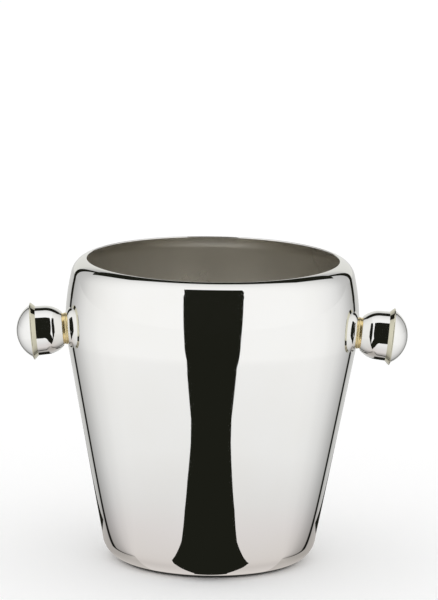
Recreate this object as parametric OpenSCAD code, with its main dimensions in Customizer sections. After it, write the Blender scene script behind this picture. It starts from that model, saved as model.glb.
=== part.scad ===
/* [Bucket shell] */
// Overall height, from the table to the top of the lip
height = 187; // [165:1:225]
// Widest outside diameter, near the top of the wall
max_d = 180; // [150:1:220]
// Radius of the wall's curve below the widest ring
belly_r = 58; // [48:1:80]
// Radius of the wall's curve above the widest ring
upper_belly_r = 138; // [110:1:170]
// Lean of the straight lower wall from vertical, in degrees
wall_lean = 10.6; // [8:0.1:13]
// Radius of the turned-in shoulder under the mouth
shoulder_r = 11.9; // [9.5:0.1:15]
// Angle on the shoulder's curve where it begins, in degrees
shoulder_start = 12.6; // [10:0.1:15]
// Angle on the shoulder's curve where it ends at the mouth, in degrees
shoulder_end = 75.8; // [65:0.1:84]
// Radius of the corner between wall and base
corner_r = 15.4; // [12:0.1:19]
// Thickness of the spun sheet
sheet_t = 1.2; // [1:0.05:1.5]

/* [Base] */
// Width of the flat ring that the bucket stands on
standing_w = 5; // [3:0.5:9]
// Height by which the middle of the base is pushed up
push_up = 2; // [1:0.1:3]
// Width of the slope between the standing ring and the pushed-up middle
push_up_slope_w = 6; // [4:0.5:9]

/* [Handle place] */
// Droop of the handle's axis below horizontal, square to the wall, in degrees
handle_droop = 5.7; // [4:0.1:7]

/* [Neck collar] */
// Diameter of the gilt collar between wall and knob
collar_d = 19.4; // [16:0.1:23]
// Length of collar that shows between wall and knob
collar_len = 1.8; // [1.4:0.1:3]

/* [Knob barrel] */
// Outside diameter of the barrel
barrel_d = 30.2; // [26:0.1:37]
// Diameter of the barrel's small end, at the collar
barrel_end_d = 21.4; // [20.4:0.1:24]
// Radius of the curve that draws the barrel in to its small end
barrel_curve_r = 15.7; // [13:0.1:16]
// Length of the barrel from collar to ring
barrel_len = 15.9; // [13:0.1:20]
// Wall thickness of the barrel
barrel_t = 1; // [0.8:0.05:1.4]

/* [Knob ring] */
// How far the ring stands out beyond the barrel
ring_proud = 2.4; // [1.6:0.1:3.2]
// Height of the ring along the knob's axis
ring_len = 3.3; // [2.9:0.1:4.2]
// Rounding of the ring's rim, where its flare ends
rim_round = 0.5; // [0.3:0.05:0.6]
// Thickness of the ring's ledge that the core clamps
ledge_t = 1.2; // [0.8:0.1:1.4]
// Width of the ring's ledge
ledge_w = 1.6; // [1.2:0.1:2]

/* [Dome cap] */
// Height of the dome above the ring
dome_h = 9.3; // [7:0.1:11]
// Width of ring that shows around the dome's edge
dome_margin = 1.4; // [1:0.1:2.2]
// Thickness of the dome's sheet
dome_t = 0.8; // [0.6:0.05:1]
// Depth of the dome's skirt in the ring
skirt_len = 0.9; // [0.6:0.05:1.1]

/* [Core bush] */
// Diameter of the bush's boss, which centres the barrel
boss_d = 17; // [14:0.1:18]

/* [Screw and washers] */
// Thread diameter of the handle screw and of the cap's stud
thread_d = 5; // [4:0.5:6]
// Length of the screw under its head
screw_len = 16; // [15:0.5:18]
// Diameter of the screw's button head
head_d = 9.5; // [9:0.1:11]
// Height of the screw's button head
head_h = 2.8; // [2.4:0.1:3.4]
// Width across the flats of the head's hexagon socket
socket_w = 3; // [2.5:0.5:4]
// Depth of the head's hexagon socket
socket_depth = 1.6; // [1:0.1:1.8]
// Thickness of the spring washer
spring_washer_t = 1.2; // [0.8:0.1:1.5]
// Width of the slit in the spring washer
slit_w = 0.8; // [0.5:0.1:1.2]
// Diameter of the saddle washer inside the bucket
saddle_d = 15; // [12:0.5:18]
// Thickness of the saddle washer at its middle
saddle_t = 1.8; // [1.4:0.1:2.4]
// Outside diameter of the rubber seal under the collar
seal_d = 12.4; // [10:0.1:13]
// Thickness of the rubber seal
seal_t = 0.9; // [0.6:0.05:1.1]

/* [Clearances] */
// Radial clearance where one piece slides into another
fit_gap = 0.1; // [0.05:0.01:0.15]
// Gap between a curved seat and the wall that it sits on
seat_gap = 0.05; // [0.02:0.01:0.08]
// Radial clearance of the screw in its plain holes
hole_gap = 0.25; // [0.15:0.05:0.5]
// Radial clearance between threads, which are drawn plain
thread_gap = 0.1; // [0.05:0.01:0.15]
// Free space left under the bush, so that the screw can pull it tight
pull_up = 0.3; // [0.2:0.05:0.5]
// Free space between the ends of the screw and the stud
stud_gap = 0.8; // [0.5:0.1:1.5]

/* [Hidden] */
$fn = 96;
overcut = 1;
// Depth of a curved seat, more than the wall falls away under it
seat_depth = 3;

// Heights and centres of the wall's curves, as [radius, height]
lip_rise = (upper_belly_r - shoulder_r) * sin(shoulder_start)
    + (shoulder_r - sheet_t / 2) * sin(shoulder_end) + sheet_t / 2;
widest_z = height - lip_rise;
belly_c = [max_d / 2 - belly_r, widest_z];
upper_c = [max_d / 2 - upper_belly_r, widest_z];
shoulder_c = upper_c + (upper_belly_r - shoulder_r) * [cos(shoulder_start), sin(shoulder_start)];
corner_x = belly_c.x
    + (belly_r - corner_r - (widest_z - corner_r) * sin(wall_lean)) / cos(wall_lean);
corner_c = [corner_x, corner_r];
lip_c = shoulder_c + (shoulder_r - sheet_t / 2) * [cos(shoulder_end), sin(shoulder_end)];
ramp_outer_r = corner_c.x - standing_w;

// Places along a handle's axis, measured outwards from the wall's surface
barrel_r = barrel_d / 2;
barrel_end_a = acos((barrel_end_d / 2 - barrel_r + barrel_curve_r) / barrel_curve_r);
barrel_curve_end = collar_len + barrel_curve_r * sin(barrel_end_a);
ring_at = collar_len + barrel_len;
ledge_at = ring_at + ledge_t;
dome_at = ring_at + ring_len;
skirt_at = dome_at - skirt_len;
ring_r = barrel_r + ring_proud;
// Lean of the tangent from the barrel's edge to the rim's round, from the radius
flare_a = let (u = ring_proud - rim_round, v = ring_len - rim_round)
    atan2(u, v) + asin(rim_round / sqrt(u * u + v * v));
dome_r = ring_r - dome_margin;
dome_sphere_r = (dome_r * dome_r + dome_h * dome_h) / (2 * dome_h);
dome_sphere_at = dome_at + dome_h - dome_sphere_r;
bush_r = barrel_r - barrel_t - fit_gap;
ledge_r = bush_r - ledge_w;
saddle_at = -sheet_t - saddle_t;
head_at = saddle_at - spring_washer_t;
screw_tip_at = head_at + screw_len;
stud_pad_r = thread_d;
stud_pad_t = 1.5;

// Points along an arc about c, from angle a0 to a1, the last one left out
function arc(c, r, a0, a1, n) = [
    for (i = [0:n - 1])
        let (a = a0 + (a1 - a0) * i / n)
            c + r * [cos(a), sin(a)]
];

// The shell's outside line from lip to base corner, moved outwards by d
function wall_line(d) = concat(
    arc(shoulder_c, shoulder_r + d, shoulder_end, shoulder_start, 12),
    arc(upper_c, upper_belly_r + d, shoulder_start, 0, 6),
    arc(belly_c, belly_r + d, 0, -wall_lean, 6),
    arc(corner_c, corner_r + d, -wall_lean, -90, 12),
    [corner_c - [0, corner_r + d]]
);

// The line of the base from its standing ring to its middle, raised by d
function base_line(d) = concat(
    [
        for (i = [0:8])
            [ramp_outer_r - push_up_slope_w * i / 8, d + push_up * (1 - cos(180 * i / 8)) / 2]
    ],
    [[0, push_up + d]]
);

function reversed(list) = [for (i = [len(list) - 1:-1:0]) list[i]];

// Solid of everything inside the shell's outside line moved outwards by d
module filled_bucket(d) {
    rotate_extrude($fn = 360) {
        polygon(concat(wall_line(d), [[0, -d], [0, shoulder_c.y + shoulder_r + d]]));
    }
}

// Puts children on the right-hand handle's axis, which is square to the wall
module on_handle_axis() {
    translate([belly_c.x, 0, belly_c.y])
        rotate([0, 90 + handle_droop, 0])
            translate([0, 0, belly_r])
                children();
}

// Puts the right-hand pieces on the left
module left() {
    mirror([1, 0, 0])
        children();
}

// A round bar between two places along the axis
module bar(r, from, to) {
    translate([0, 0, from])
        cylinder(r = r, h = to - from);
}

// A ring between two places along the axis
module band(outer_r, inner_r, from, to) {
    difference() {
        bar(outer_r, from, to);
        bar(inner_r, from - overcut, to + overcut);
    }
}

module bucket_body() {
    screw_hole_r = thread_d / 2 + hole_gap;
    color("silver")
        difference() {
            rotate_extrude() {
                polygon(concat(
                    wall_line(0),
                    base_line(0),
                    reversed(base_line(sheet_t)),
                    reversed(wall_line(-sheet_t)),
                    arc(lip_c, sheet_t / 2, shoulder_end + 180, shoulder_end, 8)
                ));
            }
            on_handle_axis()
                bar(screw_hole_r, -sheet_t - overcut, overcut);
            left()
                on_handle_axis()
                    bar(screw_hole_r, -sheet_t - overcut, overcut);
        }
}

module dome_cap() {
    color("gainsboro")
        on_handle_axis() {
            intersection() {
                translate([0, 0, dome_sphere_at])
                    difference() {
                        sphere(r = dome_sphere_r);
                        sphere(r = dome_sphere_r - dome_t);
                    }
                bar(dome_r, dome_at, dome_at + dome_h + overcut);
            }
            band(dome_r, dome_r - dome_t, skirt_at, dome_at);
        }
}

module cap_stud() {
    color("goldenrod")
        on_handle_axis()
            intersection() {
                union() {
                    bar(thread_d / 2 - thread_gap, screw_tip_at + stud_gap, dome_at + dome_h);
                    bar(stud_pad_r, dome_at + dome_h - dome_t - stud_pad_t, dome_at + dome_h);
                }
                translate([0, 0, dome_sphere_at])
                    sphere(r = dome_sphere_r - dome_t - seat_gap);
            }
}

module knob_ring() {
    spigot_at = ring_at - barrel_t;
    rim_c = [ring_r - rim_round, dome_at - rim_round];
    color("lightgray")
        on_handle_axis()
            rotate_extrude() {
                polygon(concat(
                    [[ledge_r, spigot_at], [bush_r, spigot_at], [bush_r, ring_at], [barrel_r, ring_at]],
                    arc(rim_c, rim_round, -flare_a, 90, 6),
                    [
                        [rim_c.x, dome_at],
                        [dome_r + fit_gap, dome_at],
                        [dome_r + fit_gap, skirt_at],
                        [bush_r + fit_gap, skirt_at],
                        [bush_r + fit_gap, ledge_at],
                        [ledge_r, ledge_at]
                    ]
                ));
            }
}

module knob_barrel() {
    curve_c = [barrel_r - barrel_curve_r, barrel_curve_end];
    inner_r = barrel_curve_r - barrel_t;
    floor_at = collar_len + barrel_t;
    floor_a = asin((barrel_curve_end - floor_at) / inner_r);
    boss_hole_r = boss_d / 2 + fit_gap;
    color("silver")
        on_handle_axis()
            rotate_extrude() {
                polygon(concat(
                    [[boss_hole_r, collar_len]],
                    arc(curve_c, barrel_curve_r, -barrel_end_a, 0, 10),
                    [[barrel_r, barrel_curve_end], [barrel_r, ring_at], [barrel_r - barrel_t, ring_at]],
                    arc(curve_c, inner_r, 0, -floor_a, 10),
                    [
                        [curve_c.x + inner_r * cos(floor_a), floor_at],
                        [boss_hole_r, floor_at]
                    ]
                ));
            }
}

module core_bush() {
    color("darkgoldenrod")
        on_handle_axis()
            difference() {
                union() {
                    bar(boss_d / 2, collar_len + pull_up, ledge_at);
                    bar(bush_r, ledge_at, skirt_at);
                }
                bar(thread_d / 2, 0, dome_at);
            }
}

module neck_collar() {
    color("gold")
        difference() {
            on_handle_axis()
                difference() {
                    bar(collar_d / 2, -seat_depth, collar_len);
                    bar(thread_d / 2 + hole_gap, -seat_depth - overcut, collar_len + overcut);
                    bar(seal_d / 2 + fit_gap, -seat_depth - overcut, seal_t);
                }
            filled_bucket(seat_gap);
        }
}

module wall_seal() {
    color("dimgray")
        difference() {
            on_handle_axis()
                band(seal_d / 2, thread_d / 2 + hole_gap, -seat_depth, seal_t);
            filled_bucket(seat_gap);
        }
}

module saddle_washer() {
    color("lightgray")
        intersection() {
            on_handle_axis()
                band(saddle_d / 2, thread_d / 2 + hole_gap, saddle_at, 0);
            filled_bucket(-sheet_t - seat_gap);
        }
}

module spring_washer() {
    color("gray")
        on_handle_axis()
            difference() {
                band(head_d / 2 - hole_gap, thread_d / 2 + hole_gap, head_at, saddle_at);
                translate([0, -slit_w / 2, head_at - overcut])
                    cube([head_d, slit_w, spring_washer_t + 2 * overcut]);
            }
}

module handle_screw() {
    head_r = head_d / 2;
    head_sphere_r = (head_r * head_r + head_h * head_h) / (2 * head_h);
    color("silver")
        on_handle_axis()
            difference() {
                union() {
                    bar(thread_d / 2 - thread_gap, head_at, screw_tip_at);
                    intersection() {
                        bar(head_r, head_at - head_h, head_at);
                        translate([0, 0, head_at - head_h + head_sphere_r])
                            sphere(r = head_sphere_r);
                    }
                }
                translate([0, 0, head_at - head_h - overcut])
                    cylinder(d = socket_w / cos(30), h = socket_depth + overcut, $fn = 6);
            }
}

bucket_body();

left() dome_cap();  // left_dome_cap
left() cap_stud();  // left_cap_stud
left() knob_ring();  // left_knob_ring
left() knob_barrel();  // left_knob_barrel
left() core_bush();  // left_core_bush
left() neck_collar();  // left_neck_collar
left() wall_seal();  // left_wall_seal
left() saddle_washer();  // left_saddle_washer
left() spring_washer();  // left_spring_washer
left() handle_screw();  // left_handle_screw

dome_cap();  // right_dome_cap
cap_stud();  // right_cap_stud
knob_ring();  // right_knob_ring
knob_barrel();  // right_knob_barrel
core_bush();  // right_core_bush
neck_collar();  // right_neck_collar
wall_seal();  // right_wall_seal
saddle_washer();  // right_saddle_washer
spring_washer();  // right_spring_washer
handle_screw();  // right_handle_screw
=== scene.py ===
# Silver champagne bucket: smooth spun shell, two knob handles and their fixings, in a white studio.
from math import acos, asin, atan2, cos, degrees, radians, sin, sqrt, tan

import bpy
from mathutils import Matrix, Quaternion, Vector


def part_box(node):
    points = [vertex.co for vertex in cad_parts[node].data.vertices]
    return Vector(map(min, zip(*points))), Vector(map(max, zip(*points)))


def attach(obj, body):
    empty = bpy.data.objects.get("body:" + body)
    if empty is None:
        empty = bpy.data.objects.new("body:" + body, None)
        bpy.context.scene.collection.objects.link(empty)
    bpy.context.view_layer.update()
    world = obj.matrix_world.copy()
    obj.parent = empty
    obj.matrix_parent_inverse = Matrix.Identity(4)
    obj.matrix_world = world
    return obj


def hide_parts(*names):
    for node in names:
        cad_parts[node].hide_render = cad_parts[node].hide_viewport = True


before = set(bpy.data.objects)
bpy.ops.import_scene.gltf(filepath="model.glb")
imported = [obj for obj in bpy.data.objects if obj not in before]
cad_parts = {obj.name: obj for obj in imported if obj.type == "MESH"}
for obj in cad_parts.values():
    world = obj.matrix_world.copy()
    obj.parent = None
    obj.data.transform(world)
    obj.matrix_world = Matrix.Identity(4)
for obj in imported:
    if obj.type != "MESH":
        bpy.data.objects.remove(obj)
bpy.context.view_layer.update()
mm = 0.001
sides = ("left", "right")


pen = {"r": 0.0, "z": 0.0}  # where the outline has got to, in mm


def nothingSelected():
    if bpy.context.object and bpy.context.object.mode != "OBJECT":
        bpy.ops.object.mode_set(mode="OBJECT")
    bpy.ops.object.select_all(action="DESELECT")


def pickOnly(piece):
    nothingSelected()
    piece.select_set(True)
    bpy.context.view_layer.objects.active = piece


def startOutline(name, r, z):
    # a tiny plane merged to one point, which the outline is then drawn from
    nothingSelected()
    bpy.ops.mesh.primitive_plane_add(size=mm, location=(r * mm, 0, z * mm))
    piece = bpy.context.object
    piece.name = name
    piece.data.name = name
    bpy.ops.object.transform_apply(location=True, rotation=True, scale=True)
    bpy.ops.object.mode_set(mode="EDIT")
    bpy.ops.mesh.select_mode(type="VERT")
    bpy.ops.mesh.select_all(action="SELECT")
    bpy.ops.mesh.merge(type="CENTER")
    pen.update(r=r, z=z)
    return piece


def lineTo(r, z, parts=1):
    step = ((r - pen["r"]) * mm / parts, 0, (z - pen["z"]) * mm / parts)
    for _ in range(parts):
        bpy.ops.mesh.extrude_region_move(TRANSFORM_OT_translate={"value": step})
    pen.update(r=r, z=z)


def arcAbout(centre, fromDeg, toDeg, parts):
    radius = sqrt((pen["r"] - centre[0]) ** 2 + (pen["z"] - centre[1]) ** 2)
    bpy.ops.mesh.spin(steps=parts, angle=radians(toDeg - fromDeg),
                      center=(centre[0] * mm, 0, centre[1] * mm), axis=(0, 1, 0))
    pen.update(r=centre[0] + radius * cos(radians(toDeg)),
               z=centre[1] + radius * sin(radians(toDeg)))


def turnRound(piece, steps, sharpDeg=35):
    # spins the outline once round the upright axis and closes it
    bpy.ops.mesh.select_all(action="SELECT")
    bpy.ops.mesh.remove_doubles(threshold=0.001 * mm)
    bpy.ops.mesh.select_all(action="SELECT")
    bpy.ops.mesh.spin(steps=steps, angle=radians(360), center=(0, 0, 0), axis=(0, 0, 1))
    bpy.ops.mesh.select_all(action="SELECT")
    bpy.ops.mesh.remove_doubles(threshold=0.001 * mm)
    bpy.ops.mesh.select_all(action="SELECT")
    bpy.ops.mesh.normals_make_consistent(inside=False)
    bpy.ops.object.mode_set(mode="OBJECT")
    pickOnly(piece)
    bpy.ops.object.shade_smooth_by_angle(angle=radians(sharpDeg))
    return piece


def cutWith(piece, cutter):
    pickOnly(piece)
    cut = piece.modifiers.new("cut", "BOOLEAN")
    cut.operation = "DIFFERENCE"
    cut.solver = "EXACT"
    cut.object = cutter
    bpy.ops.object.modifier_apply(modifier=cut.name)


def throwAway(piece):
    pickOnly(piece)
    bpy.ops.object.delete()


def colour(hexCode):
    # sRGB hex to the linear values that shaders take
    shades = [int(hexCode[i:i + 2], 16) / 255 for i in (1, 3, 5)]
    return [v / 12.92 if v <= 0.04045 else ((v + 0.055) / 1.055) ** 2.4 for v in shades] + [1.0]


def addNode(tree, kind, settings=None, feeds=None):
    # settings are the node's own options; feeds are its inputs, each a value or another node's output
    node = tree.nodes.new(kind)
    for name, value in (settings or {}).items():
        setattr(node, name, value)
    for name, value in (feeds or {}).items():
        if isinstance(value, bpy.types.NodeSocket):
            tree.links.new(value, node.inputs[name])
        else:
            node.inputs[name].default_value = value
    return node


def perMetre(sizeMm):
    # texture scale that gives features of about this size
    return 1000 / sizeMm


def startMaterial(name, metallic, roughness):
    material = bpy.data.materials.new(name)
    material.use_nodes = True
    tree = material.node_tree
    shader = tree.nodes["Principled BSDF"]
    shader.inputs["Metallic"].default_value = metallic
    shader.inputs["Roughness"].default_value = roughness
    place = addNode(tree, "ShaderNodeTexCoord").outputs["Object"]
    return material, tree, shader, place


def vary(tree, place, sizeMm, low, high, socket, detail=3.0):
    # lets a number wander between two values in patches of a given size
    patches = addNode(tree, "ShaderNodeTexNoise", {}, {"Vector": place, "Scale": perMetre(sizeMm),
                                                       "Detail": detail, "Roughness": 0.55})
    spread = addNode(tree, "ShaderNodeMapRange", {}, {"Value": patches.outputs["Fac"], "From Min": 0.3,
                                                      "From Max": 0.7, "To Min": low, "To Max": high})
    tree.links.new(spread.outputs["Result"], socket)
    return patches


def tint(tree, factor, first, second, socket):
    blend = addNode(tree, "ShaderNodeMix", {"data_type": "RGBA"},
                    {0: factor, 6: colour(first), 7: colour(second)})
    tree.links.new(blend.outputs[2], socket)


# Polished silver plate: buffed sheet. The eye gets a clean mirror, slightly warm, whose reflections
# waver a little with the spun metal, and fine haze where a cloth has wiped it.
silverLook = {"bright": "#F5F5F4", "warm": "#F1F0EC", "patchMm": 45, "hazeMm": 3,
              "shine": (0.018, 0.05), "waveMm": 22, "waveDepthMm": 0.006}


def makePolishedSilver(name, look):
    material, tree, shader, place = startMaterial(name, 1.0, look["shine"][0])
    patches = addNode(tree, "ShaderNodeTexNoise", {}, {"Vector": place, "Scale": perMetre(look["patchMm"]),
                                                       "Detail": 2.0})
    tint(tree, patches.outputs["Fac"], look["bright"], look["warm"], shader.inputs["Base Color"])
    vary(tree, place, look["hazeMm"], *look["shine"], shader.inputs["Roughness"])
    waves = addNode(tree, "ShaderNodeTexNoise", {}, {"Vector": place, "Scale": perMetre(look["waveMm"]),
                                                     "Detail": 1.0})
    bump = addNode(tree, "ShaderNodeBump", {}, {"Height": waves.outputs["Fac"], "Strength": 1.0,
                                                "Distance": look["waveDepthMm"] * mm})
    tree.links.new(bump.outputs["Normal"], shader.inputs["Normal"])
    return material


# The same plate on the ring of each knob, tinted a little darker and olive beige. The eye gets a band of
# olive beige between barrel and dome; the tint is partly the plate's own warm tone and partly painted
# reflection. The eye gets a band of olive beige between barrel and dome; on the real ring that may be
# only a reflection.
ringSilverLook = dict(silverLook, bright="#DEDBC8", warm="#D2CEB8")


# Satin silver inside the bucket: spun, brushed and not buffed. The eye gets soft rings round the
# wall and base, a little darker and greyer than the mirror outside. Real spin marks are 0.1 mm
# apart; they are drawn 1.2 mm apart so that they show.
satinLook = {"light": "#ECEAE5", "dull": "#DFDCD5", "shine": (0.26, 0.34), "ringMm": 1.2,
             "ringDepthMm": 0.004, "patchMm": 40}


def makeSatinSilver(name, look):
    material, tree, shader, place = startMaterial(name, 1.0, look["shine"][0])
    patches = vary(tree, place, look["patchMm"], *look["shine"], shader.inputs["Roughness"])
    tint(tree, patches.outputs["Fac"], look["light"], look["dull"], shader.inputs["Base Color"])
    split = addNode(tree, "ShaderNodeSeparateXYZ", {}, {"Vector": place})
    flat = addNode(tree, "ShaderNodeCombineXYZ", {}, {"X": split.outputs["X"], "Y": split.outputs["Y"]})
    radius = addNode(tree, "ShaderNodeVectorMath", {"operation": "LENGTH"}, {0: flat.outputs["Vector"]})
    path = addNode(tree, "ShaderNodeMath", {"operation": "ADD"},
                   {0: radius.outputs["Value"], 1: split.outputs["Z"]})
    rings = addNode(tree, "ShaderNodeTexNoise", {"noise_dimensions": "1D"},
                    {"W": path.outputs["Value"], "Scale": perMetre(look["ringMm"]), "Detail": 4.0,
                     "Roughness": 0.7})
    bump = addNode(tree, "ShaderNodeBump", {}, {"Height": rings.outputs["Fac"], "Strength": 1.0,
                                                "Distance": look["ringDepthMm"] * mm})
    tree.links.new(bump.outputs["Normal"], shader.inputs["Normal"])
    return material


# Plain metals turned on a lathe: gilt brass on the collars, bare brass in the knobs and stainless
# steel fixings. The eye gets fine tool marks and an uneven shine.
giltLook = {"first": "#FBEBBE", "second": "#F3DCA0", "shine": (0.2, 0.32), "patchMm": 3,
            "markMm": 0.7, "markDepthMm": 0.003}
brassLook = {"first": "#D9BE7C", "second": "#B6965A", "shine": (0.2, 0.34), "patchMm": 5,
             "markMm": 0.6, "markDepthMm": 0.01}
steelLook = {"first": "#CFCFCC", "second": "#B2B2AF", "shine": (0.16, 0.3), "patchMm": 4,
             "markMm": 0.6, "markDepthMm": 0.008}


def makeTurnedMetal(name, look):
    material, tree, shader, place = startMaterial(name, 1.0, look["shine"][0])
    patches = vary(tree, place, look["patchMm"], *look["shine"], shader.inputs["Roughness"])
    tint(tree, patches.outputs["Fac"], look["first"], look["second"], shader.inputs["Base Color"])
    stretch = addNode(tree, "ShaderNodeMapping", {}, {"Vector": place, "Scale": (1.0, 0.12, 0.12)})
    marks = addNode(tree, "ShaderNodeTexNoise", {}, {"Vector": stretch.outputs["Vector"], "Detail": 3.0,
                                                     "Scale": perMetre(look["markMm"])})
    bump = addNode(tree, "ShaderNodeBump", {}, {"Height": marks.outputs["Fac"], "Strength": 1.0,
                                                "Distance": look["markDepthMm"] * mm})
    tree.links.new(bump.outputs["Normal"], shader.inputs["Normal"])
    return material


# Nitrile rubber: moulded, near black, with a fine matt grain.
rubberLook = {"first": "#232322", "second": "#35342F", "shine": (0.55, 0.75), "patchMm": 2,
              "grainMm": 0.5, "grainDepthMm": 0.02}


def makeRubber(name, look):
    material, tree, shader, place = startMaterial(name, 0.0, look["shine"][0])
    patches = vary(tree, place, look["patchMm"], *look["shine"], shader.inputs["Roughness"])
    tint(tree, patches.outputs["Fac"], look["first"], look["second"], shader.inputs["Base Color"])
    grain = addNode(tree, "ShaderNodeTexNoise", {}, {"Vector": place, "Scale": perMetre(look["grainMm"])})
    bump = addNode(tree, "ShaderNodeBump", {}, {"Height": grain.outputs["Fac"], "Strength": 1.0,
                                                "Distance": look["grainDepthMm"] * mm})
    tree.links.new(bump.outputs["Normal"], shader.inputs["Normal"])
    return material


polishedSilver = makePolishedSilver("polished silver plate", silverLook)
# the ring's darker olive tint is partly painted reflection
ringSilver = makePolishedSilver("warm-toned silver plate", ringSilverLook)
satinSilver = makeSatinSilver("satin spun silver", satinLook)
giltBrass = makeTurnedMetal("gilt brass", giltLook)
turnedBrass = makeTurnedMetal("turned brass", brassLook)
stainlessSteel = makeTurnedMetal("stainless steel", steelLook)
nitrileRubber = makeRubber("nitrile rubber", rubberLook)
print("materials ready")


def finishPiece(piece, node, material):
    if not piece.data.materials:
        piece.data.materials.append(material)
    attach(piece, "root")
    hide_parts(node)


bodyLow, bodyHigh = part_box("bucket_body")
shell = {  # mm and degrees
    "height": (bodyHigh.z - bodyLow.z) / mm,
    "maxR": (bodyHigh.x - bodyLow.x) / 2 / mm,
    "bellyR": 58.0,
    "upperR": 138.0,
    "lean": 10.6,
    "shoulderR": 11.9,
    "shoulderFrom": 12.6,
    "shoulderTo": 75.8,
    "cornerR": 15.4,
    "sheet": 1.2,
    "standing": 5.0,
    "pushUp": 2.0,
    "slope": 6.0,
    "roundSteps": 256,
}


def shellPlaces(size):
    # centres of the wall's curves, worked out as they touch one another
    lipR = size["shoulderR"] - size["sheet"] / 2
    lipRise = ((size["upperR"] - size["shoulderR"]) * sin(radians(size["shoulderFrom"]))
               + lipR * sin(radians(size["shoulderTo"])) + size["sheet"] / 2)
    widest = size["height"] - lipRise
    belly = (size["maxR"] - size["bellyR"], widest)
    upper = (size["maxR"] - size["upperR"], widest)
    reach = size["upperR"] - size["shoulderR"]
    shoulder = (upper[0] + reach * cos(radians(size["shoulderFrom"])),
                upper[1] + reach * sin(radians(size["shoulderFrom"])))
    lean = radians(size["lean"])
    cornerDrop = (widest - size["cornerR"]) * sin(lean)
    cornerX = belly[0] + (size["bellyR"] - size["cornerR"] - cornerDrop) / cos(lean)
    lip = (shoulder[0] + lipR * cos(radians(size["shoulderTo"])),
           shoulder[1] + lipR * sin(radians(size["shoulderTo"])))
    return {"belly": belly, "upper": upper, "shoulder": shoulder,
            "corner": (cornerX, size["cornerR"]), "lip": lip}


places = shellPlaces(shell)


def drawWallUp(size, centres, inset, coneParts):
    # from the flat base out round the corner and up to the mouth, inset from the outside face
    lean = radians(size["lean"])
    arcAbout(centres["corner"], -90, -size["lean"], 28)
    reach = size["bellyR"] - inset
    top = (centres["belly"][0] + reach * cos(lean), centres["belly"][1] - reach * sin(lean))
    lineTo(*top, coneParts)
    arcAbout(centres["belly"], -size["lean"], 0, 12)
    arcAbout(centres["upper"], 0, size["shoulderFrom"], 22)
    arcAbout(centres["shoulder"], size["shoulderFrom"], size["shoulderTo"], 24)


def drawWallDown(size, centres, inset, coneParts):
    lean = radians(size["lean"])
    arcAbout(centres["shoulder"], size["shoulderTo"], size["shoulderFrom"], 18)
    arcAbout(centres["upper"], size["shoulderFrom"], 0, 16)
    arcAbout(centres["belly"], 0, -size["lean"], 10)
    reach = size["cornerR"] - inset
    foot = (centres["corner"][0] + reach * cos(lean), centres["corner"][1] - reach * sin(lean))
    lineTo(*foot, coneParts)
    arcAbout(centres["corner"], -size["lean"], -90, 20)


def drawSlope(fromR, fromZ, toR, toZ):
    # two equal arcs that leave and arrive level
    run, rise = abs(toR - fromR), abs(toZ - fromZ)
    radius = (run ** 2 + rise ** 2) / (4 * rise)
    turn = degrees(2 * atan2(rise, run))
    outward = toR > fromR
    falls = toZ < fromZ
    first = (fromR, fromZ - radius if falls else fromZ + radius)
    second = (toR, toZ + radius if falls else toZ - radius)
    if outward and falls:
        arcAbout(first, 90, 90 - turn, 6)
        arcAbout(second, 270 - turn, 270, 6)
    else:
        arcAbout(first, -90, -90 - turn, 6)
        arcAbout(second, 90 - turn, 90, 6)


def makeShell(size, centres):
    rampR = centres["corner"][0] - size["standing"]
    piece = startOutline("bucketShell", 0, size["pushUp"])
    lineTo(rampR - size["slope"], size["pushUp"], 14)
    drawSlope(rampR - size["slope"], size["pushUp"], rampR, 0)
    lineTo(centres["corner"][0], 0, 3)
    drawWallUp(size, centres, 0, 44)
    arcAbout(centres["lip"], size["shoulderTo"], size["shoulderTo"] + 180, 12)
    drawWallDown(size, centres, size["sheet"], 30)
    lineTo(rampR, size["sheet"], 3)
    drawSlope(rampR, size["sheet"], rampR - size["slope"], size["pushUp"] + size["sheet"])
    lineTo(0, size["pushUp"] + size["sheet"], 14)
    return turnRound(piece, size["roundSteps"], 60)


bucketShell = makeShell(shell, places)
print("bucket shell turned:", len(bucketShell.data.polygons), "faces")


droop = 5.7  # degrees below level, square to the wall
thread = {"r": 2.5, "holeGap": 0.25, "drillFrom": -6, "drillTo": 4}  # mm


def putOnHandle(piece):
    # from upright at the origin to the right-hand handle's axis, measured from the wall's face
    pickOnly(piece)
    piece.rotation_euler = (0, radians(90 + droop), 0)
    reach = shell["bellyR"]
    piece.location = ((places["belly"][0] + reach * cos(radians(droop))) * mm, 0,
                      (places["belly"][1] - reach * sin(radians(droop))) * mm)
    bpy.ops.object.transform_apply(location=True, rotation=True, scale=True)
    return piece


def mirrorToLeft(piece, name):
    pickOnly(piece)
    bpy.ops.object.duplicate(linked=False)
    copy = bpy.context.object
    copy.name = name
    copy.data.name = name
    copy.scale = (-1, 1, 1)
    bpy.ops.object.transform_apply(location=True, rotation=True, scale=True)
    bpy.ops.object.mode_set(mode="EDIT")
    bpy.ops.mesh.select_all(action="SELECT")
    bpy.ops.mesh.normals_make_consistent(inside=False)
    bpy.ops.object.mode_set(mode="OBJECT")
    return copy


def roundBar(name, r, low, high, steps=64):
    bar = startOutline(name, 0, low)
    lineTo(r, low)
    lineTo(r, high)
    lineTo(0, high)
    return turnRound(bar, steps)


def drillShell():
    holeR = thread["r"] + thread["holeGap"]
    drill = putOnHandle(roundBar("drill", holeR, thread["drillFrom"], thread["drillTo"]))
    farDrill = mirrorToLeft(drill, "farDrill")
    for bit in (drill, farDrill):
        cutWith(bucketShell, bit)
    throwAway(drill)
    throwAway(farDrill)


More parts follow.
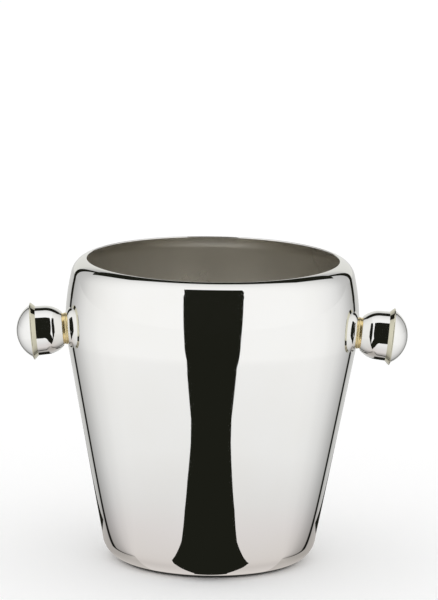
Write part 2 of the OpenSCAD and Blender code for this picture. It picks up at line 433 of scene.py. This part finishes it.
def satinInside(piece, size, centres):
    # every face nearer the axis than the middle of the sheet is left satin
    piece.data.materials.append(polishedSilver)
    piece.data.materials.append(satinSilver)
    lipTop = centres["lip"][1] * mm
    for face in piece.data.polygons:
        centre, normal = face.center, face.normal
        inward = normal.x * centre.x + normal.y * centre.y
        insideWall = inward < 0 and lipTop > centre.z > size["cornerR"] * mm
        onFloor = normal.z > 0.3 and centre.z < size["cornerR"] * 1.4 * mm
        if insideWall or onFloor:
            face.material_index = 1


drillShell()
satinInside(bucketShell, shell, places)
finishPiece(bucketShell, "bucket_body", polishedSilver)
print("bucket shell drilled and finished")


# The knob's pieces lie along the handle's axis, and are measured in mm outwards from the wall.
fitGap = 0.1  # where one piece slides into another
knobSteps = 160  # faces round each knob


barrelSize = {"r": 15.1, "endR": 10.7, "curve": 15.7, "length": 15.9, "wall": 1.0, "bossR": 8.5,
              "edge": 0.25}  # edge is the small round turned at the collar


def makeBarrel():
    centre = (barrelSize["r"] - barrelSize["curve"], spots["curveEnd"])
    innerR = barrelSize["curve"] - barrelSize["wall"]
    floorAt = collarSize["length"] + barrelSize["wall"]
    floorAngle = degrees(asin((spots["curveEnd"] - floorAt) / innerR))
    edge = barrelSize["edge"]
    holeR = barrelSize["bossR"] + fitGap
    piece = startOutline("rightKnobBarrel", holeR, collarSize["length"])
    lineTo(barrelSize["endR"] - edge, collarSize["length"], 2)
    lineTo(barrelSize["endR"], collarSize["length"] + edge)
    start = degrees(atan2(pen["z"] - centre[1], pen["r"] - centre[0]))
    arcAbout(centre, start, 0, 26)
    lineTo(barrelSize["r"], spots["ringAt"], 5)
    lineTo(spots["boreR"], spots["ringAt"])
    lineTo(spots["boreR"], spots["curveEnd"], 3)
    arcAbout(centre, 0, -floorAngle, 18)
    lineTo(holeR, floorAt, 2)
    lineTo(holeR, collarSize["length"])
    return putOnHandle(turnRound(piece, knobSteps))


ringSize = {"proud": 2.4, "length": 3.3, "rimRound": 0.5, "ledge": 1.2, "ledgeWidth": 1.6}


def makeRing():
    bushR = barrelSize["r"] - barrelSize["wall"] - fitGap
    ledgeR = bushR - ringSize["ledgeWidth"]
    rim = (spots["ringR"] - ringSize["rimRound"], spots["domeAt"] - ringSize["rimRound"])
    out, up = rim[0] - barrelSize["r"], rim[1] - spots["ringAt"]
    lean = atan2(out, up) + asin(ringSize["rimRound"] / sqrt(out ** 2 + up ** 2))
    skirtAt = spots["domeAt"] - domeSize["skirt"]
    ledgeAt = spots["ringAt"] + ringSize["ledge"]
    piece = startOutline("rightKnobRing", ledgeR, spots["ringAt"] - barrelSize["wall"])
    lineTo(bushR, spots["ringAt"] - barrelSize["wall"])
    lineTo(bushR, spots["ringAt"])
    lineTo(barrelSize["r"], spots["ringAt"])
    # the flare runs straight from the barrel's edge into the round of the rim
    lineTo(rim[0] + ringSize["rimRound"] * cos(lean), rim[1] - ringSize["rimRound"] * sin(lean), 4)
    arcAbout(rim, -degrees(lean), 90, 10)
    lineTo(spots["domeR"] + fitGap, spots["domeAt"])
    lineTo(spots["domeR"] + fitGap, skirtAt)
    lineTo(bushR + fitGap, skirtAt)
    lineTo(bushR + fitGap, ledgeAt)
    lineTo(ledgeR, ledgeAt)
    lineTo(ledgeR, spots["ringAt"] - barrelSize["wall"])
    return putOnHandle(turnRound(piece, knobSteps))


domeSize = {"height": 9.3, "margin": 1.4, "wall": 0.8, "skirt": 0.9}


def makeDome():
    centre = (0, spots["sphereAt"])
    edgeAngle = degrees(atan2(spots["domeAt"] - spots["sphereAt"], spots["domeR"]))
    innerR = spots["sphereR"] - domeSize["wall"]
    innerEdge = spots["domeR"] - domeSize["wall"]
    innerAngle = degrees(acos(innerEdge / innerR))
    piece = startOutline("rightDomeCap", innerEdge, spots["domeAt"] - domeSize["skirt"])
    lineTo(spots["domeR"], spots["domeAt"] - domeSize["skirt"])
    lineTo(spots["domeR"], spots["domeAt"], 2)
    arcAbout(centre, edgeAngle, 90, 40)
    lineTo(0, spots["sphereAt"] + innerR)
    arcAbout(centre, 90, innerAngle, 24)
    lineTo(innerEdge, spots["domeAt"] - domeSize["skirt"])
    return putOnHandle(turnRound(piece, knobSteps))


# The collar has a hollow turned round it, and a recess in its foot for the seal.
collarSize = {"r": 9.7, "length": 1.8, "seatDepth": 3.0, "seatGap": 0.05, "hollow": 0.35, "edge": 0.2,
              "sealR": 6.3, "sealDepth": 0.9, "cutFrom": 90, "roundSteps": 128}


def makeWallCutter(size, centres, outwards):
    # everything inside the wall's outside face moved outwards, near the handles only
    lean = radians(size["lean"])
    reach = size["bellyR"] + outwards
    cutter = startOutline("wallCutter", 0, collarSize["cutFrom"])
    foot = (centres["belly"][0] + reach * cos(lean), centres["belly"][1] - reach * sin(lean))
    lowR = foot[0] - (foot[1] - collarSize["cutFrom"]) * tan(lean)
    lineTo(lowR, collarSize["cutFrom"])
    lineTo(*foot, 16)
    arcAbout(centres["belly"], -size["lean"], 0, 16)
    arcAbout(centres["upper"], 0, size["shoulderFrom"], 12)
    lineTo(0, pen["z"])
    return turnRound(cutter, size["roundSteps"])


def makeCollar():
    holeR = thread["r"] + thread["holeGap"]
    cove = collarSize["hollow"]
    edge = collarSize["edge"]
    piece = startOutline("rightNeckCollar", holeR, -collarSize["seatDepth"])
    lineTo(collarSize["r"], -collarSize["seatDepth"])
    lineTo(collarSize["r"], edge * 2)
    lineTo(collarSize["r"] - cove, edge * 2 + cove)
    lineTo(collarSize["r"] - cove, collarSize["length"] - edge - cove, 2)
    lineTo(collarSize["r"], collarSize["length"] - edge)
    lineTo(collarSize["r"] - edge, collarSize["length"])
    lineTo(holeR, collarSize["length"], 2)
    lineTo(holeR, -collarSize["seatDepth"])
    collar = turnRound(piece, collarSize["roundSteps"])
    recess = roundBar("sealRecess", collarSize["sealR"], -collarSize["seatDepth"] - 1,
                      collarSize["sealDepth"])
    cutWith(collar, recess)
    throwAway(recess)
    putOnHandle(collar)
    cutter = makeWallCutter(shell, places, collarSize["seatGap"])
    cutWith(collar, cutter)
    throwAway(cutter)
    return collar


def knobPlaces():
    bend = (barrelSize["endR"] - barrelSize["r"] + barrelSize["curve"]) / barrelSize["curve"]
    ringAt = collarSize["length"] + barrelSize["length"]
    domeAt = ringAt + ringSize["length"]
    ringR = barrelSize["r"] + ringSize["proud"]
    domeR = ringR - domeSize["margin"]
    sphereR = (domeR ** 2 + domeSize["height"] ** 2) / (2 * domeSize["height"])
    return {"curveEnd": collarSize["length"] + barrelSize["curve"] * sin(acos(bend)),
            "ringAt": ringAt, "domeAt": domeAt, "ringR": ringR, "domeR": domeR, "sphereR": sphereR,
            "sphereAt": domeAt + domeSize["height"] - sphereR,
            "boreR": barrelSize["r"] - barrelSize["wall"]}


spots = knobPlaces()
rightPieces = {
    "knob_barrel": (makeBarrel(), "polished_silver", polishedSilver),
    "knob_ring": (makeRing(), "polished_silver", ringSilver),
    "dome_cap": (makeDome(), "polished_silver", polishedSilver),
    "neck_collar": (makeCollar(), "gilt", giltBrass),
}
for part, (piece, slotName, material) in rightPieces.items():
    copy = mirrorToLeft(piece, piece.name.replace("right", "left"))
    finishPiece(piece, "right_" + part, material)
    finishPiece(copy, "left_" + part, material)
print("knobs turned and mirrored")


keptFinish = {"cap_stud": turnedBrass, "core_bush": turnedBrass, "wall_seal": nitrileRubber,
              "saddle_washer": stainlessSteel, "spring_washer": stainlessSteel,
              "handle_screw": stainlessSteel}
for side in sides:
    for part, material in keptFinish.items():
        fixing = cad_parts[side + "_" + part]
        fixing.data.materials.clear()
        fixing.data.materials.append(material)
print("fixings finished")


studio = {"floorSize": 14.0, "floor": "#FFFFFF", "strength": 1.02, "groundR": 6, "groundDrop": 0.0006,
          "cardDrop": 0.0004}  # metres


def flatMaterial(name, hexCode, strength=1.0):
    material = bpy.data.materials.new(name)
    material.use_nodes = True
    tree = material.node_tree
    tree.nodes.clear()
    glow = addNode(tree, "ShaderNodeEmission", {}, {"Color": colour(hexCode), "Strength": strength})
    addNode(tree, "ShaderNodeOutputMaterial", {}, {"Surface": glow.outputs["Emission"]})
    return material


def setStops(ramp, stops):
    # stops are (place from 0 to 1, hex colour), in order
    while len(ramp.elements) < len(stops):
        ramp.elements.new(1.0)
    for element, (spot, hexCode) in zip(ramp.elements, stops):
        element.position = spot
        element.color = colour(hexCode)


# White towards the camera's side and duller behind, so that the bucket's flanks shade off.
surroundStops = [(0.0, "#FFFFFF"), (0.35, "#FFFFFF"), (0.5, "#FBFBFB"), (0.575, "#F6F6F6"),
                 (0.65, "#EFEFEF"), (0.725, "#E3E3E3"), (0.77, "#D7D7D7"), (0.82, "#C9C9C9"),
                 (0.9, "#BCBCBC"), (0.94, "#DEDEDA"), (1.0, "#E4E4E0")]
# The ground is dull and warm by the bucket and white from about 0.4 m out: painted shade of the bucket on
# the ground, near black as painted shadow just under its foot; places are in metres.
nearShadeStops = [(0.05, "#1D1D1A"), (0.056, "#1D1D1A"), (0.0575, "#E0DAD7"), (0.062, "#D8D2CF"),
             (0.067, "#D0CAC7"), (0.075, "#DAD4D1"), (0.09, "#DFDAD8"), (0.115, "#E4E0E0"),
             (0.147, "#E9E8E8"), (0.206, "#F3F3F3"), (0.268, "#F6F6F6"), (0.43, "#FFFFFF")]
# It also shades off round each flank and crosses a near black line: painted shade and a painted shadow line
# on the ground; places are in degrees, from straight out sideways to straight back.
flankShadowStops = [(-30, "#FFFFFF"), (-10, "#FFFFFF"), (8, "#FBFBFB"), (27, "#ECECEC"),
              (35, "#DFDFDF"), (43, "#CECECE"), (50, "#BFBFBF"), (55.5, "#B4B4B2"),
              (56.5, "#1C1D1A"), (61, "#1C1D1A"), (62, "#C8C8C6"), (90, "#DCDCDA"),
              (130, "#E6E6E4")]
# the point the painted shade and shadow line fan out from
shadowFanApex = (0.06, 0.045)  # metres out to the side and forward


def seenOnlyInReflections(card):
    card.visible_camera = False
    card.visible_diffuse = False
    card.visible_shadow = False
    card.visible_transmission = False
    card.visible_volume_scatter = False


def makeFloor():
    nothingSelected()
    bpy.ops.mesh.primitive_plane_add(size=studio["floorSize"], location=(0, 0, 0))
    floor = bpy.context.object
    floor.name = "studioFloor"
    material = bpy.data.materials.new("matt white paper")
    material.use_nodes = True
    paper = material.node_tree.nodes["Principled BSDF"]
    paper.inputs["Base Color"].default_value = colour(studio["floor"])
    paper.inputs["Roughness"].default_value = 1.0
    paper.inputs["Specular IOR Level"].default_value = 0.0
    floor.data.materials.append(material)
    floor.visible_glossy = False


def makeWorld():
    world = bpy.data.worlds.new("white surround")
    bpy.context.scene.world = world
    world.use_nodes = True
    tree = world.node_tree
    back = tree.nodes["Background"]
    back.inputs["Strength"].default_value = studio["strength"]
    towards = addNode(tree, "ShaderNodeSeparateXYZ", {},
                      {"Vector": addNode(tree, "ShaderNodeTexCoord").outputs["Generated"]})
    place = addNode(tree, "ShaderNodeMapRange", {}, {"Value": towards.outputs["Y"], "From Min": -1.0})
    shades = addNode(tree, "ShaderNodeValToRGB", {}, {"Fac": place.outputs["Result"]})
    setStops(shades.color_ramp, surroundStops)
    rays = addNode(tree, "ShaderNodeLightPath")
    pick = addNode(tree, "ShaderNodeMix", {"data_type": "RGBA"},
                   {0: rays.outputs["Is Glossy Ray"], 6: colour("#FFFFFF"), 7: shades.outputs["Color"]})
    tree.links.new(pick.outputs[2], back.inputs["Color"])


def shadeRamp(tree, value, stops):
    # a colour ramp over real values instead of 0 to 1
    low, high = stops[0][0], stops[-1][0]
    spot = addNode(tree, "ShaderNodeMapRange", {}, {"Value": value, "From Min": low, "From Max": high})
    ramp = addNode(tree, "ShaderNodeValToRGB", {}, {"Fac": spot.outputs["Result"]})
    setStops(ramp.color_ramp, [((at - low) / (high - low), hexCode) for at, hexCode in stops])
    return ramp.outputs["Color"]


def makeGround():
    # what the polished wall sees of the ground, with the bucket's shade and shadow painted on it
    nothingSelected()
    bpy.ops.mesh.primitive_circle_add(vertices=64, radius=studio["groundR"], fill_type="NGON",
                                      location=(0, 0, -studio["groundDrop"]))
    ground = bpy.context.object
    ground.name = "groundCard"
    bpy.ops.object.transform_apply(location=True, rotation=True, scale=True)
    material = bpy.data.materials.new("shaded ground")
    material.use_nodes = True
    tree = material.node_tree
    tree.nodes.clear()
    place = addNode(tree, "ShaderNodeTexCoord").outputs["Object"]
    reach = addNode(tree, "ShaderNodeVectorMath", {"operation": "LENGTH"}, {0: place})
    # painted shade and shadow of the bucket, darkest close to its foot
    near = shadeRamp(tree, reach.outputs["Value"], nearShadeStops)
    # painted shade and shadow line fanning out round each flank
    split = addNode(tree, "ShaderNodeSeparateXYZ", {}, {"Vector": place})
    aside = addNode(tree, "ShaderNodeMath", {"operation": "ABSOLUTE"}, {0: split.outputs["X"]})
    out = addNode(tree, "ShaderNodeMath", {"operation": "SUBTRACT"}, {0: aside.outputs[0], 1: shadowFanApex[0]})
    back = addNode(tree, "ShaderNodeMath", {"operation": "ADD"}, {0: split.outputs["Y"], 1: shadowFanApex[1]})
    turn = addNode(tree, "ShaderNodeMath", {"operation": "ARCTAN2"},
                   {0: back.outputs[0], 1: out.outputs[0]})
    turnDeg = addNode(tree, "ShaderNodeMath", {"operation": "DEGREES"}, {0: turn.outputs[0]})
    flank = shadeRamp(tree, turnDeg.outputs[0], flankShadowStops)
    both = addNode(tree, "ShaderNodeMix", {"data_type": "RGBA", "blend_type": "MULTIPLY"},
                   {0: 1.0, 6: near, 7: flank})
    glow = addNode(tree, "ShaderNodeEmission", {}, {"Color": both.outputs[2]})
    addNode(tree, "ShaderNodeOutputMaterial", {}, {"Surface": glow.outputs["Emission"]})
    ground.data.materials.append(material)
    seenOnlyInReflections(ground)


def pickCorners(card, wanted):
    # selects the card's corners that wanted says yes to, and leaves it in edit mode
    pickOnly(card)
    for v in card.data.vertices:
        v.select = wanted(v.co)
    for e in card.data.edges:
        e.select = all(card.data.vertices[i].select for i in e.vertices)
    for f in card.data.polygons:
        f.select = False
    bpy.ops.object.mode_set(mode="EDIT")
    bpy.ops.mesh.select_mode(type="VERT")


def stripCard(name, rows, lying, at, material):
    # a flat card whose sides follow rows of (left, right, along), in metres
    # along is Y for a card lying at a height, or Z for one standing at a depth
    axis = 1 if lying else 2
    start = 0.001  # width of the first strip, which the rest is extruded from
    sense = 1 if rows[1][2] > rows[0][2] else -1
    left, right, along = rows[0]
    middle = along - sense * start / 2
    nothingSelected()
    upright = 0 if lying else radians(90)
    depth, rise = (middle, at) if lying else (at, middle)
    bpy.ops.mesh.primitive_plane_add(size=1, rotation=(upright, 0, 0),
                                     location=((left + right) / 2, depth, rise))
    card = bpy.context.object
    card.name = name
    card.scale = (right - left, start, 1)
    bpy.ops.object.transform_apply(location=True, rotation=True, scale=True)
    for nextLeft, nextRight, nextAlong in rows[1:]:
        reach = nextAlong - along
        pickCorners(card, lambda co: abs(co[axis] - along) < start / 4)
        bpy.ops.mesh.extrude_region_move(TRANSFORM_OT_translate={
            "value": (0, reach, 0) if lying else (0, 0, reach)})
        bpy.ops.object.mode_set(mode="OBJECT")
        for wasX, x in ((left, nextLeft), (right, nextRight)):
            pickCorners(card, lambda co: abs(co[axis] - nextAlong) < start / 4 and abs(co.x - wasX) < 1e-5)
            bpy.ops.transform.translate(value=(x - wasX, 0, 0))
            bpy.ops.object.mode_set(mode="OBJECT")
        left, right, along = nextLeft, nextRight, nextAlong
    card.data.materials.append(material)
    seenOnlyInReflections(card)
    return card


# Cards are rows of (left, right, along) in metres.
frontStanding = [(-0.45, 0.47, 0.0), (-0.5, 0.535, 0.45), (-0.575, 0.64, 1.3),
                 (-0.72, 0.8, 2.1), (-1.15, 1.18, 4.2)]
frontLying = [(-0.009, 0.012, -0.059), (-0.019, 0.025, -0.063), (-0.028, 0.034, -0.068),
              (-0.035, 0.036, -0.075), (-0.036, 0.037, -0.098), (-0.045, 0.046, -0.131),
              (-0.051, 0.051, -0.164), (-0.055, 0.057, -0.207), (-0.061, 0.064, -0.233),
              (-0.088, 0.09, -0.281), (-0.126, 0.137, -0.392), (-0.45, 0.47, -1.2)]
# The dark ground under and behind each knob, painted as the knob's shadow on black cards, as (near, far,
# along) from the middle line.
knobShadowStrips = [(0.08, 0.104, 0.05), (0.082, 0.108, 0.12), (0.085, 0.135, 0.64)]
backFrame = {"y": 1.12, "inner": 0.68, "outer": 0.86, "high": 1.0, "lintel": 1.25, "reach": 1.15}


def makeCards():
    # black for the flags, and for the painted shadow strips under the knobs
    black = flatMaterial("black felt and painted shadow", "#1D1E18")
    frontDepth = frontLying[-1][2]
    stripCard("frontGap", frontStanding, False, frontDepth, black)
    stripCard("frontGroundGap", frontLying, True, -studio["cardDrop"], black)
    b = backFrame
    for name, side in (("Left", -1), ("Right", 1)):
        # a black strip on the ground under each knob: painted shadow
        strip = [sorted((side * near, side * far)) + [along] for near, far, along in knobShadowStrips]
        stripCard("knobShadowStrips" + name, strip, True, -studio["cardDrop"], black)
        low, high = sorted((side * b["inner"], side * b["outer"]))
        stripCard("backPost" + name, [(low, high, 0.0), (low, high, b["high"])], False, b["y"], black)
    stripCard("backLintel", [(-b["reach"], b["reach"], b["high"]),
                             (-b["reach"], b["reach"], b["high"] + b["lintel"])], False, b["y"], black)


makeFloor()
makeWorld()
makeGround()
makeCards()
print("studio set")


shot = {"aim": (0.0039, 0.014, 0.1586), "distance": 2.7, "elevation": 12.48, "pivotHeight": 0.09,
        "lens": 263.2, "sensor": 36.0, "roll": 0.909, "bounces": 12}


def placeCamera(view):
    nothingSelected()
    rise = radians(view["elevation"])
    spot = Vector((0, -view["distance"] * cos(rise), view["pivotHeight"] + view["distance"] * sin(rise)))
    bpy.ops.object.camera_add(location=spot)
    camera = bpy.context.object
    camera.name = "studioCamera"
    look = (Vector(view["aim"]) - spot).to_track_quat("-Z", "Y")
    camera.rotation_euler = (look @ Quaternion((0, 0, 1), radians(view["roll"]))).to_euler()
    camera.data.lens = view["lens"]
    camera.data.sensor_width = view["sensor"]
    camera.data.sensor_fit = "AUTO"
    camera.data.clip_end = 50
    bpy.context.scene.camera = camera


placeCamera(shot)
bpy.context.scene.view_settings.view_transform = "Standard"  # keeps the white surround white
bpy.context.scene.cycles.max_bounces = shot["bounces"]  # enough for light to find its way out of the bucket
bpy.context.scene.cycles.glossy_bounces = shot["bounces"]
print("camera placed")
